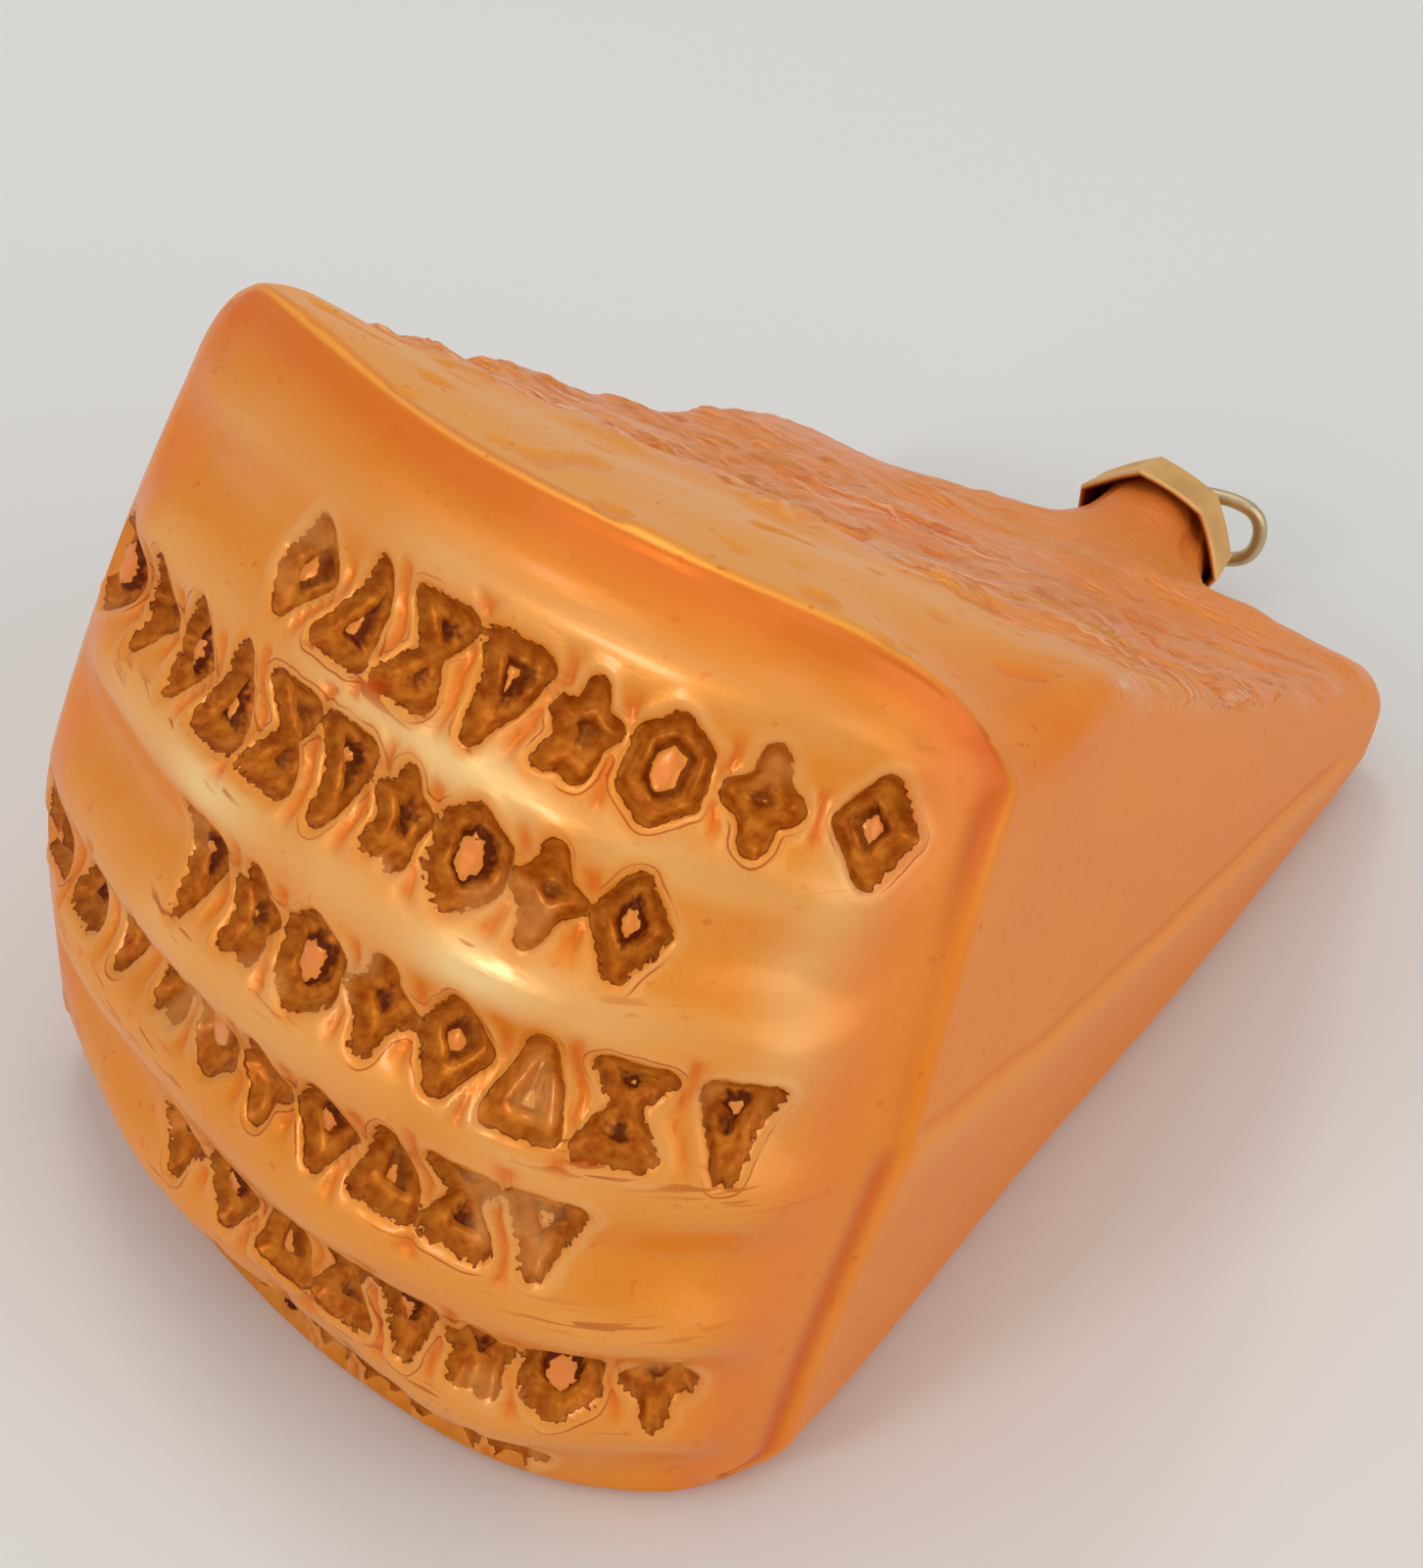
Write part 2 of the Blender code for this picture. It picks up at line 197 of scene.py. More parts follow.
def sectionPoint(x, z, width, height, corner, inset):
    # one quarter of a rectangle with round corners, with the point brought to this inset from its border
    coreX, coreZ = width - corner, height - corner
    if x > coreX and z > coreZ:
        away = Vector((x - coreX, z - coreZ))
        away *= (corner - inset) / away.length
        return coreX + away.x, coreZ + away.y
    if width - x < height - z:
        return width - inset, z
    return x, height - inset


def wedgePoint(box):
    # from the box between -1 and 1 to (across, along, above) on the rounded wedge
    across, length, up = box
    share = (length + 1) / 2
    crowd = wedge["tipCrowding"] * share
    across = across * (1 - crowd) + across ** 3 * crowd
    width = halfWidth(share, up, smooth(-0.4, 0.4, across))
    height = wedge["rindHeight"] / 2 + (wedge["tipThickness"] - wedge["rindHeight"]) / 2 * share
    x, z = abs(across) * width, abs(up) * height
    inset = min(width - x, height - z)
    if share < 0.5:
        radius = wedge["edgeRadius"]
        radius += (wedge["leftEdgeRadius"] - radius) * smooth(-0.8, -0.97, across)
        radius += (wedge["lowEdgeRadius"] - radius) * smooth(-0.8, -0.97, up)
        inset, depth = turnEdge(inset, share * wedge["length"], radius)
        along = depth
    else:
        inset, depth = turnEdge(inset, (1 - share) * wedge["length"], wedge["tipRadius"])
        along = wedge["length"] - depth
    x, z = sectionPoint(x, z, width, height, cornerRadius(share, up), inset)
    across, rise = math.copysign(x / width, across), math.copysign(z / height, up)
    along -= pillow(across, rise) * (1 - share) ** 1.3
    x = across * width + wedge["tipOffset"] * share
    above = rise * halfThickness(along, rise)
    thin = smooth(0.45, 0.85, share)                # near the tip the whole upper half gives way, not only its top
    weight = smooth(0.75, 1.0, up) * (1 - thin) + max(up, 0.0) * thin
    above += weight * upperOutline(x, along, across, share)
    return x, along, above - wornCorner(x, along, above)


def neckPoint(x, along, above):
    place = layDown(x, along, above)
    radius = wedge["tipRadius"]
    ahead = along - (wedge["length"] - radius)
    arc = radius * math.atan2(abs(above), ahead) if ahead > 0 else radius * math.pi / 2 - ahead
    arc = math.copysign(arc, above)
    reach = math.hypot(x - neck["offset"], arc) / neck["spread"]
    if reach >= 1:
        return place
    turn = math.atan2(arc, x - neck["offset"])
    fall = max(0.0, (reach - neck["endShare"]) / (1 - neck["endShare"]))
    ring = neck["radius"] * (min(1.0, reach / neck["endShare"]) + neck["flare"] * fall ** 3)
    y = neckEndY - fall * neck["reach"] * (1.1 + 0.9 * abs(math.sin(turn)))
    end = Vector((neck["offset"] + ring * math.cos(turn), y, neck["height"] + ring * math.sin(turn)))
    point = place.lerp(end, 1 - smooth(0.5, 1.0, reach))
    point.z = max(point.z, 0.0)
    return point


# ---- The sunk marks on the rind

def star(points, inner):
    corners = []
    for index in range(2 * points):
        reach, turn = inner if index % 2 else 1.0, math.pi * (0.5 + index / points)
        corners.append((reach * math.cos(turn), reach * math.sin(turn)))
    return tuple(corners)


marks = {
    "firstRow": 0.67, "rowStep": 0.315,
    "rows": (                                       # of each row: first place, number, step and shift upwards
        (-0.385, 8, 0.175, -0.02), (-0.91, 10, 0.160, 0.01), (-0.365, 8, 0.163, -0.02),
        (-0.91, 10, 0.161, 0.01), (-0.370, 8, 0.166, -0.02), (-0.91, 10, 0.160, 0.01),
    ),
    "width": 2.95 * mm, "height": 4.3 * mm,         # of the middle line of a figure's stroke
    "halfStroke": 0.76 * mm, "depth": 0.80 * mm, "floorRound": 0.6 * mm,
    "ridge": 0.14 * mm, "ridgeOut": 0.40 * mm, "ridgeWidth": 0.30 * mm,
    "groove": 0.35 * mm, "island": 0.12 * mm,
    "swell": 0.75 * mm,                             # of the glass between two rows
}
figures = (
    ((0, -1), (1, 0), (0, 1), (-1, 0)),             # diamond
    star(5, 0.5),
    ((-1, -1), (1, -1), (0, 1)),                    # triangle
    ((-1, -0.5), (0, -1), (1, -0.5), (1, 0.5), (0, 1), (-1, 0.5)),     # hexagon
    ((-1, 1), (1, 1), (-1, -1), (1, -1)),           # hourglass
    star(4, 0.42),
    ((-1, 1), (1, 1), (0, -1)),                     # triangle on its point
)


def markPlace(across, up):
    def point(a, u):
        return layDown(*wedgePoint(Vector((a, -1, u))))
    step = 0.01
    middle = point(across, up)
    row = (point(across + step, up) - middle).normalized()
    outward = row.cross(point(across, up + step) - middle).normalized()
    return middle, row, outward.cross(row)


def placeMarks():
    places = {}
    for row, (first, count, step, shift) in enumerate(marks["rows"]):
        for column in range(count):
            across, up = first + step * column, marks["firstRow"] - marks["rowStep"] * row + shift
            figure = figures[(row * 3 + column * 2) % len(figures)]
            corners = [Vector((x * marks["width"] / 2, y * marks["height"] / 2)) for x, y in figure]
            places[row, column] = (*markPlace(across, up), corners)
    return places


def toFigure(point, mark):
    # how far a point lies from the middle line of a figure's stroke, and whether the figure encloses it
    middle, row, rise, corners = mark
    flat = Vector(((point - middle).dot(row), (point - middle).dot(rise)))
    nearest, enclosed = 1.0, False
    for start, end in zip(corners, corners[1:] + corners[:1]):
        span = end - start
        share = min(max((flat - start).dot(span) / span.length_squared, 0.0), 1.0)
        nearest = min(nearest, (start + span * share - flat).length)
        if (start.y > flat.y) != (end.y > flat.y):
            crossing = start.x + span.x * (flat.y - start.y) / span.y
            enclosed ^= flat.x < crossing
    return nearest, enclosed


def nearestMarks(point, across, up, places):
    nothing = (10 * mm, False)
    row = round((marks["firstRow"] - up) / marks["rowStep"])
    if not 0 <= row < len(marks["rows"]):
        return nothing, nothing
    first, count, step, _ = marks["rows"][row]
    column = math.floor((across - first) / step)
    near = [toFigure(point, places[row, c]) for c in (column, column + 1) if 0 <= c < count]
    near = sorted(near) + [nothing, nothing]
    return near[0], near[1]


def rindRelief(point, across, up, places):
    (nearest, enclosed), (second, _) = nearestMarks(point, across, up, places)
    wobble = 0.16 * mm * noise.noise(point / (0.9 * mm))
    stroke = marks["halfStroke"] - nearest + wobble
    tones = {"stroke": stroke / mm}
    height = -marks["depth"] * smooth(-0.12 * mm, marks["floorRound"], stroke)
    uneven = 0.7 + 0.9 * noise.noise(point / (5 * mm))
    if enclosed:
        tones["inner"] = 1.0
        tones["island"] = smooth(0.0, 0.25 * mm, -stroke)
        height -= marks["island"] * (0.5 + noise.noise(point / (0.7 * mm)))
    else:
        # the ridge and groove masks also carry colour: a painted highlight on the ridge, painted shade in the groove
        tones["ridge"] = uneven * bell(-stroke, marks["ridgeOut"], marks["ridgeWidth"])
        between = smooth(0.8 * mm, 0.1 * mm, second - nearest)
        tones["groove"] = between * smooth(0.1 * mm, 0.45 * mm, -stroke) * (1 - smooth(0.8 * mm, 1.4 * mm, -stroke))
        height += marks["ridge"] * tones["ridge"]
        height -= marks["groove"] * tones["groove"]
    turn = (marks["firstRow"] - up) / marks["rowStep"]
    rowShare = smooth(-0.9, -0.4, turn) * (1 - smooth(5.4, 5.9, turn))
    sides = smooth(-0.98, -0.8, across) * (1 - smooth(0.8, 0.95, across))
    swelling = -rowShare * sides * (1 + 0.8 * noise.noise(point / (9 * mm))) * math.cos(2 * math.pi * turn)
    height += marks["swell"] * swelling + 0.5 * mm * sides * noise.noise(point / (13 * mm))
    # painted highlight: cream on the crest of each swell between rows
    tones["creamAndHighlight"] = max(0.0, swelling) * smooth(0.3 * mm, 0.9 * mm, -stroke)
    below = (turn + 0.5) % 1.0 - 0.5
    tones["dash"] = sides * rowShare * bell(below, 0.40, 0.07) * smooth(-0.3, 0.0, turn)
    tones["dash"] *= smooth(-0.1, 0.3, noise.noise(point / (7 * mm)))
    return height, tones


# ---- The broken upper face and the mould's parting line

crumb = {
    "flakeSize": 7.5 * mm, "flakeStep": 0.36 * mm, "flakeLevels": 2.2, "trendLength": 2.6 * mm,
    "chipSize": 1.7 * mm, "chipStep": 0.14 * mm, "chipLevels": 1.7,
    "grainSize": 0.8 * mm, "grainHeight": 0.07 * mm, "pitSize": 3.2 * mm, "pitDepth": 0.60 * mm,
    "nubSize": 2.1 * mm, "nubHeight": 0.36 * mm,
}
seam = {"depth": 0.22 * mm, "width": 0.6 * mm, "wander": 0.4 * mm, "step": 0.28 * mm, "stepWidth": 3.0 * mm}
crease = {"depth": 0.32 * mm, "width": 0.45 * mm, "inset": 0.6 * mm}


def terrace(value):
    # treads that slope back from the lip of a steep riser
    level = math.floor(value)
    part = value - level
    return level + 1.3 * smooth(0.0, 0.2, part) - 0.3 * part


def crumbRelief(x, along):
    # flaky steps that face the rind, then smaller chips, round nubs, grain and shallow pits
    spot = Vector((x / 3, along, 4 * mm))
    trend = along / crumb["trendLength"]
    wander = noise.noise(spot / crumb["flakeSize"]) + 0.4 * noise.noise(spot * 3.1 / crumb["flakeSize"])
    flake = crumb["flakeLevels"] * wander + trend
    chip = crumb["chipLevels"] * noise.noise(spot / crumb["chipSize"]) + 1.3 * trend
    strength = smooth(-0.35, 0.25, noise.noise(Vector((x / 1.5, along, 12 * mm)) / (7 * mm)))
    grain = noise.noise(Vector((x * 0.6, along, 5 * mm)) / crumb["grainSize"])
    pit = smooth(0.16, 0.48, noise.noise(Vector((x * 0.6, along * 1.4, 9 * mm)) / crumb["pitSize"]))
    pit *= smooth(-0.35, 0.2, noise.noise(Vector((x, along, 15 * mm)) / (11 * mm)))
    steps = crumb["flakeStep"] * (terrace(flake) - trend) + crumb["chipStep"] * (terrace(chip) - 1.3 * trend)
    calm = 1 - 0.65 * smooth(0.45, 0.85, along / wedge["length"])
    strength *= calm
    nub = min(1.0, 2.6 * abs(noise.noise(Vector((x * 0.7, along, 21 * mm)) / crumb["nubSize"])))
    nubby = smooth(-0.25, 0.15, noise.noise(Vector((x, along, 27 * mm)) / (8 * mm)))
    height = strength * steps + crumb["grainHeight"] * grain * (0.3 + strength) - crumb["pitDepth"] * pit
    nubby *= calm * (1 - 0.5 * smooth(8 * mm, 22 * mm, x))
    height += crumb["nubHeight"] * nubby * (nub - 0.5)
    ragged = smooth(-0.5, 0.1, noise.noise(spot / (9 * mm))) * (1 - 0.6 * smooth(0.4, 0.8, along / wedge["length"]))
    ragged *= 1 - 0.5 * smooth(0, 20 * mm, x)
    # the pit tone adds the low hollows between nubs; the material colours it as painted shade
    pit = max(pit, 0.6 * nubby * smooth(0.3, 0.0, nub))
    return height, {"flake": flake, "chip": chip, "ragged": ragged, "pit": pit}


def seamRelief(x, along, above):
    # a shallow groove, with the lower half standing a little proud below it; the masks carry a painted shade line in
    # the groove and a painted highlight on the proud half
    share = along / wedge["length"]
    off = above - seamUp(share, 1.0 if x > 0 else 0.0) * halfThickness(along, -1)
    off -= seam["wander"] * noise.noise(Vector((along, x, 0)) / (8 * mm))
    line = bell(off, 0.1 * mm, seam["width"]) if off > 0 else bell(off, 0.1 * mm, 0.6 * seam["width"])
    proud = bell(off, 0.0, seam["stepWidth"]) if off < 0 else 0.0
    return seam["step"] * proud * smooth(-0.2 * mm, -0.9 * mm, off) - seam["depth"] * line, line, proud


def creaseTone(up):
    # strong round the upper corner, faint half-way down, strong again below the parting line
    return max(smooth(0.15, 0.75, up), 0.35, smooth(0.06, -0.06, up))


def boxWithFineFaces():
    bm = bmesh.new()
    bmesh.ops.create_cube(bm, size=2)
    for axis, faces in ((0, wedge["columns"]), (1, wedge["rings"]), (2, wedge["layers"])):
        edges = [e for e in bm.edges if abs((e.verts[0].co - e.verts[1].co)[axis]) > 1]
        bmesh.ops.subdivide_edges(bm, edges=edges, cuts=faces - 1, use_grid_fill=True)
    fine = set()
    for face in bm.faces:
        x, y, z = face.calc_center_median()
        onSide = abs(x) > 0.999 and (y < -0.94 or z > 0.95 or (-0.13 < z < 0.07))
        if y < -0.999 or z > 0.999 or onSide:
            fine.update(face.edges)
    bmesh.ops.subdivide_edges(bm, edges=list(fine), cuts=wedge["fineCuts"], use_grid_fill=True)
    for vert in bm.verts:                           # crowds the faces towards the rounded edges
        for axis in range(3):
            value = vert.co[axis]
            vert.co[axis] = value + wedge["spreading"] * math.sin(math.pi * value) / math.pi
        vert.co.y -= wedge["frontCrowding"] * (1 - vert.co.y ** 2)
    return bm


def rindTones(point, box, places):
    # relief and tones of a point of the rind; the distances are measured along it from its edges
    fromTop = (1 - box.z) * wedge["rindHeight"] / 2
    fromSide = (1 - abs(box.x)) * wedge["rindWidth"] / 2
    onRight = smooth(-0.2, 0.2, box.x)
    height, tones = 0.0, {}
    if abs(box.x) < 0.97 and abs(box.z) < 0.97:
        height, tones = rindRelief(point, box.x, box.z, places)
    inner = smooth(0.1 * mm, 0.5 * mm, min(fromTop, fromSide))
    tones["rind"] = smooth(0.1 * mm, 0.7 * mm, fromSide)
    tones["upper"] = 1 - smooth(0.1 * mm, 0.5 * mm, fromTop)
    # painted highlight: a cream streak near the right side, and cream on the swell crests, strongest about the middle
    # of the rind
    highlightStreak = bell(fromSide, 5.0 * mm, 1.6 * mm) * smooth(-0.2, 0.35, box.z) * (1 - smooth(0.5, 0.75, box.z))
    spread = math.exp(-((box.x - 0.05) / 0.62) ** 2 - ((box.z - 0.38) / 0.42) ** 2)
    patch = (0.12 + 1.25 * spread) * max(0.0, 0.8 + 0.8 * noise.noise(point / (7 * mm)))
    tones["creamAndHighlight"] = max(tones.get("creamAndHighlight", 0.0) * patch * smooth(3 * mm, 7 * mm, fromSide), 0.5 * onRight * highlightStreak)
    tones["blush"] = bell(fromSide, 2.6 * mm, 1.6 * mm)
    width = (0.45 + 0.6 * smooth(0.3, 0.9, box.z)) * mm
    # painted shade along the crease by the right side, in a line that widens towards the top
    line = onRight * creaseTone(box.z) * bell(fromSide, crease["inset"], width)
    # a deep band under the top edge: partly thick lacquer, partly painted shade
    band = bell(fromTop, 0.8 * mm, 1.1 * mm) + 0.5 * bell(fromTop, 1.5 * mm, 2.6 * mm)
    tones["deepLineAndShade"] = inner * min(1.0, band)
    tones["creaseShade"] = smooth(0.0, 0.3 * mm, fromSide) * line
    sunk = onRight * creaseTone(box.z) * (1 - smooth(0.7, 0.88, box.z))
    height -= crease["depth"] * sunk * bell(fromSide, crease["inset"], crease["width"])
    return height, tones


def faceTones(box, x, along, above):
    # relief and tones of a point of the upper face or of a side
    fromTop = (1 - box.z) * wedge["rindHeight"] / 2
    height, tones = 0.0, {}
    nearTop = 1.0
    if abs(box.x) > 0.999:
        nearTop = bell(fromTop, 0.0, 1.8 * mm)
        away = smooth(0.0, 1.5 * mm, (box.y + 1) * wedge["length"] / 2) * (1 - smooth(0.6, 0.95, box.y))
        seamHeight, line, proud = seamRelief(x, along, above)
        height = seamHeight * away
        # painted shade along the seam's groove, and a painted highlight on the proud lower half
        tones["deepLineAndShade"] = 0.45 * line * away
        tones["proudHighlight"] = proud * away
    fromSide = (1 - abs(box.x)) * wedge["rindWidth"] / 2
    edgeWander = 1.6 * mm * noise.noise(Vector((x, along, above)) / (4 * mm))
    tones["upper"] = nearTop * (0.35 + 0.65 * smooth(-1.0 * mm, 2.0 * mm, fromSide + edgeWander))
    tones["upper"] *= 1 - 0.8 * smooth(0.15, 0.5, along / wedge["length"])
    broken = brokenShare(x, along) * nearTop
    relief, crumbTones = crumbRelief(x, along)
    spot = Vector((x, along, above))
    swell = wedge["stripSwell"] * noise.noise(spot / (6 * mm))
    dimple = smooth(0.30, 0.55, noise.noise(spot / (3 * mm)))
    height += broken * relief + (nearTop - broken) * (swell - wedge["dimple"] * dimple)
    corner = Vector((wedge["rindWidth"] / 2, 2.5 * mm, wedge["rindHeight"] / 2))
    # the worn corner's deeper orange, and the same colour a quarter strong in the strip's dimples as painted shade
    tones["patch"] = math.exp(-((spot - corner).length / (7 * mm)) ** 2) + 0.25 * (nearTop - broken) * dimple
    # painted glint along the upper face's side edges and the top of the sides
    rim = bell(fromSide, 0.2 * mm, 0.7 * mm) if abs(box.x) < 0.999 else bell(fromTop, 0.0, 0.5 * mm)
    tones["edgeGlint"] = rim * smooth(-0.05, 0.3, noise.noise(spot / (3 * mm))) * smooth(4 * mm, 9 * mm, along)
    tones["edgeGlint"] *= 1 - smooth(0.5, 0.8, along / wedge["length"])
    edge = (box.y + 1) * wedge["length"] / 2
    if box.z > 0.999:
        # painted shade along the upper face's first mm behind the rind's edge, fading to the right
        tones["deepLineAndShade"] = 0.6 * (1 - smooth(0.2 * mm, 1.0 * mm, edge)) * (1 - 0.8 * smooth(0.0, 0.4, box.x))
    return height, {**tones, **crumbTones, "broken": broken}


def makeGlass(material):
    bm = boxWithFineFaces()
    places = placeMarks()
    names = ("rind", "upper", "stroke", "inner", "island", "ridge", "groove", "dash", "creamAndHighlight", "blush",
             "deepLineAndShade", "creaseShade", "broken", "flake", "chip", "ragged", "edgeGlint", "pit", "patch", "proudHighlight")
    layers = {name: bm.verts.layers.float.new(name) for name in names}
    built = {}
    for vert in bm.verts:
        box = vert.co.copy()
        onWedge = wedgePoint(box)
        built[vert] = (box, onWedge)
        vert.co = neckPoint(*onWedge)
    bm.normal_update()
    heights = {}
    for vert, (box, (x, along, above)) in built.items():
        height, tones = 0.0, {}
        if box.y < -0.999:
            height, tones = rindTones(vert.co, box, places)
        elif box.z > 0.999 or abs(box.x) > 0.999:
            height, tones = faceTones(box, x, along, above)
        if box.y > 0.999 or along > 0.85 * wedge["length"]:
            toNeck = math.hypot(vert.co.x - neck["offset"], vert.co.z - neck["height"])
            tones["blush"] = smooth(12 * mm, 4 * mm, toNeck) * smooth(tipY - 6 * mm, tipY + 3 * mm, vert.co.y)
            # painted shade on the neck just under the cap's rim
            tones["deepLineAndShade"] = 0.8 * smooth(capRimY - 1.4 * mm, capRimY, vert.co.y)
        for name, layer in layers.items():
            vert[layer] = tones.get(name, -5.0 if name == "stroke" else 0.0)
        heights[vert] = height
    for vert, height in heights.items():
        vert.co += vert.normal * height
        vert.co.z = max(vert.co.z, 0.0)
    bmesh.ops.translate(bm, verts=bm.verts, vec=placed)
    print("glass:", len(bm.verts), "points,", sum(len(face.verts) - 2 for face in bm.faces), "triangles")
    return addObject("glass_body", bm, material)


# ---- The crown cap and its wire

crown = {
    "facets": 7, "steps": 14, "rimRadius": 6.05 * mm, "topRadius": 5.6 * mm, "wall": 0.28 * mm,
    "height": 3.4 * mm, "gap": 0.3 * mm, "dome": 0.5 * mm, "rimArch": 0.30 * mm,
    "rimRoll": 0.26 * mm, "rollSteps": 6, "shoulder": 0.55 * mm, "shoulderSteps": 5,
}
wire = {"radius": 0.53 * mm, "spacing": 4.9 * mm, "leg": 3.4 * mm, "eye": 6.6 * mm, "lean": math.radians(70)}
capTopY = neckEndY + crown["gap"]
capRimY = capTopY - crown["height"]


def crownProfile():
    # radius, distance from the cap's top, share of faceting and shade, from the inside round the rim and up
    wall, roll, shoulder = crown["wall"], crown["rimRoll"], crown["shoulder"]
    rim, top = crown["rimRadius"], crown["topRadius"]
    profile = [(0, 0, 0, 1), (top * 0.8 - wall, 0, 0, 1), (top - wall, -crown["dome"], 0.6, 1),
               (rim - 2 * roll, roll - crown["height"], 1, 1)]
    for index in range(crown["rollSteps"] + 1):
        turn = math.pi * index / crown["rollSteps"]
        shade = smooth(0.75, 0.35, index / crown["rollSteps"])
        profile.append((rim - roll * (1 + math.cos(turn)), roll * (1 - math.sin(turn)) - crown["height"], 1, shade))
    for index in range(4):
        share = (index + 1) / 5
        profile.append((rim + (top - rim) * share, (roll - crown["height"]) * (1 - share) - shoulder * share, 1, 0))
    for index in range(crown["shoulderSteps"] + 1):
        turn = math.pi / 2 * index / crown["shoulderSteps"]
        profile.append((top - shoulder * (1 - math.cos(turn)), shoulder * (math.sin(turn) - 1) + wall, 1 - turn / 3, 0))
    profile += [(top * 0.5, wall + 0.12 * mm, 0.1, 0), (0, wall + 0.2 * mm, 0, 0)]
    return profile


def makeCap(material):
    bm = bmesh.new()
    faceting = bm.verts.layers.float.new("faceting")
    shade = bm.verts.layers.float.new("shade")
    chain = []
    for radius, y, faceted, dark in crownProfile():
        vert = bm.verts.new((radius, y, 0))
        vert[faceting], vert[shade] = faceted, dark
        chain.append(vert)
    edges = [bm.edges.new(pair) for pair in zip(chain, chain[1:])]
    bmesh.ops.spin(bm, geom=chain + edges, axis=(0, 1, 0), angle=2 * math.pi,
                   steps=crown["facets"] * crown["steps"], use_merge=True)
    bmesh.ops.remove_doubles(bm, verts=bm.verts, dist=0.01 * mm)
    facet = 2 * math.pi / crown["facets"]
    for vert in bm.verts:
        angle = math.atan2(vert.co.z, vert.co.x)
        offCorner = (angle % facet) - facet / 2
        flat = math.cos(facet / 2) / math.cos(offCorner)
        scale = 1 + vert[faceting] * (flat - 1)
        nearRim = smooth(-0.4 * crown["height"], -crown["height"], vert.co.y)
        arch = crown["rimArch"] * nearRim * (1 - (2 * offCorner / facet) ** 2)
        dent = 0.05 * mm * noise.noise(vert.co / (1.6 * mm)) * vert[faceting]
        legs = min((Vector((vert.co.x, vert.co.z - side * wire["spacing"] / 2)).length for side in (-1, 1)))
        if vert.co.y > 0:
            vert[shade] = bell(legs, 0.5 * mm, 0.5 * mm)
        vert.co.x, vert.co.z = vert.co.x * scale, vert.co.z * scale
        vert.co.y += arch + dent
    bmesh.ops.translate(bm, verts=bm.verts, vec=placed + Vector((neck["offset"], capTopY, neck["height"])))
    print("cap:", len(bm.verts), "points")
    return addObject("crown_cap", bm, material, 24)


def makeHanger(material):
    # one wire: up a leg, round the leaning eye, and down the other leg
    top = Vector((neck["offset"], capTopY, neck["height"])) + placed
    lean = Vector((math.sin(wire["lean"]), math.cos(wire["lean"]), 0))
    back, eye = Vector((0, 1, 0)), wire["eye"]
    half = [                                        # down the middle of the eye, and how far to its side
        (top - back * wire["leg"], 1), (top - back * wire["leg"] / 2, 1), (top + back * 0.6 * mm, 1),
        (top + back * 1.3 * mm + lean * 0.12 * eye, 1.02), (top + back * 1.3 * mm + lean * 0.60 * eye, 1.12),
        (top + back * 1.1 * mm + lean * eye, 0.78),
    ]
    side = Vector((0, 0, wire["spacing"] / 2))
    path = [middle + side * share for middle, share in half]
    path += [middle - side * share for middle, share in reversed(half)]
    curve = bpy.data.curves.new("wire_path", "CURVE")
    curve.dimensions = "3D"
    spline = curve.splines.new("NURBS")
    spline.points.add(len(path) - 1)
    for point, place in zip(spline.points, path):
        point.co = (*place, 1)
    spline.order_u = 4
    spline.use_endpoint_u = True
    spline.resolution_u = 12
    curve.bevel_depth, curve.bevel_resolution, curve.use_fill_caps = wire["radius"], 6, True
    guide = bpy.data.objects.new("wire_path", curve)
    mesh = bpy.data.meshes.new_from_object(guide)
    bpy.data.objects.remove(guide)
    return placeMesh("hanger_wire", mesh, material, 40)


# ---- Materials

def newMaterial(name):
    material = bpy.data.materials.new(name)
    material.use_nodes = True
    tree = material.node_tree
    return material, tree, tree.nodes["Principled BSDF"]


def addNode(tree, kind, values=None, **settings):
    node = tree.nodes.new(kind)
    for key, value in settings.items():
        setattr(node, key, value)
    for key, value in (values or {}).items():
        socket = node.inputs[key]
        if hasattr(value, "is_output"):
            tree.links.new(value, socket)
        else:
            socket.default_value = value
    return node


def mixed(tree, factor, first, second):
    node = tree.nodes.new("ShaderNodeMix")
    node.data_type = "RGBA"
    for socket, value in ((node.inputs[0], factor), (node.inputs[6], first), (node.inputs[7], second)):
        if hasattr(value, "is_output"):
            tree.links.new(value, socket)
        else:
            socket.default_value = value if isinstance(value, float) else (*value, 1)
    return node.outputs[2]


def attribute(tree, name):
    return addNode(tree, "ShaderNodeAttribute", attribute_name=name).outputs["Fac"]


def ranged(tree, value, low, high, newLow=0.0, newHigh=1.0):
    values = {"Value": value, "From Min": low, "From Max": high, "To Min": newLow, "To Max": newHigh}
    return addNode(tree, "ShaderNodeMapRange", values).outputs["Result"]


def mathed(tree, operation, first, second):
    return addNode(tree, "ShaderNodeMath", {0: first, 1: second}, operation=operation).outputs[0]


def pearlGroup():
    # soft cloudy mottling, from two sizes of noise
    group = bpy.data.node_groups.new("pearlMottle", "ShaderNodeTree")
    for name, default in (("Cloud Size", 90.0), ("Speck Size", 900.0)):
        socket = group.interface.new_socket(name, in_out="INPUT", socket_type="NodeSocketFloat")
        socket.default_value = default
    group.interface.new_socket("Vector", in_out="INPUT", socket_type="NodeSocketVector")
    for name in ("Cloud", "Speck"):
        group.interface.new_socket(name, in_out="OUTPUT", socket_type="NodeSocketFloat")
    entry = group.nodes.new("NodeGroupInput")
    leave = group.nodes.new("NodeGroupOutput")
    for size, name in (("Cloud Size", "Cloud"), ("Speck Size", "Speck")):
        values = {"Vector": entry.outputs["Vector"], "Scale": entry.outputs[size], "Detail": 3.0}
        cloud = addNode(group, "ShaderNodeTexNoise", values)
        spread = ranged(group, cloud.outputs["Fac"], 0.32, 0.68)
        group.links.new(spread, leave.inputs[name])
    return group


def useGroup(tree, group, values):
    return addNode(tree, "ShaderNodeGroup", values, node_tree=group)


